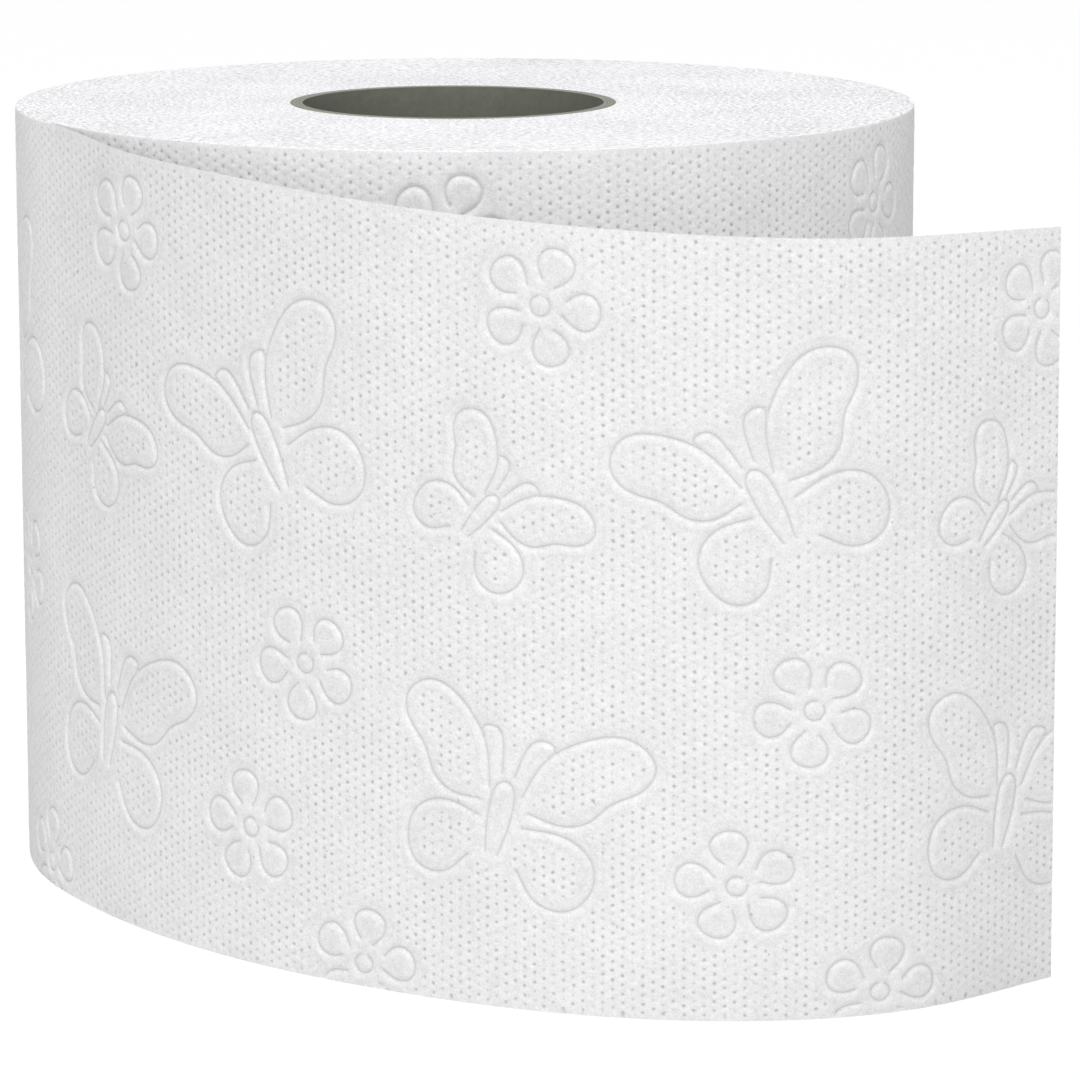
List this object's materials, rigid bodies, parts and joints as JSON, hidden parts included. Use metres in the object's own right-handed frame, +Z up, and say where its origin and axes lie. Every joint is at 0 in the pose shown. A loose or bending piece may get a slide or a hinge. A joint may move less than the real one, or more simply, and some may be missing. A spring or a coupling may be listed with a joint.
{
  "type": "toilet paper roll",
  "caption": "Round roll of white embossed tissue on a cardboard core, standing on end, with the loose end of its web curving away in front.",
  "frame": {"origin": "on the axis of the core's bore, in the plane of the end that the roll stands on", "axes": "+Z up along the core's bore; -Y towards the side where the loose end hangs"},
  "size_m": [0.126, 0.1611, 0.097],
  "materials": {
    "tissue": "soft matt, pressed with small dots, butterflies and daisies",
    "core_board": "plain matt grey board"
  },
  "bodies": {
    "root": {"core_tube": "core_board", "paper_roll": "tissue"}
  },
  "joints": []
}
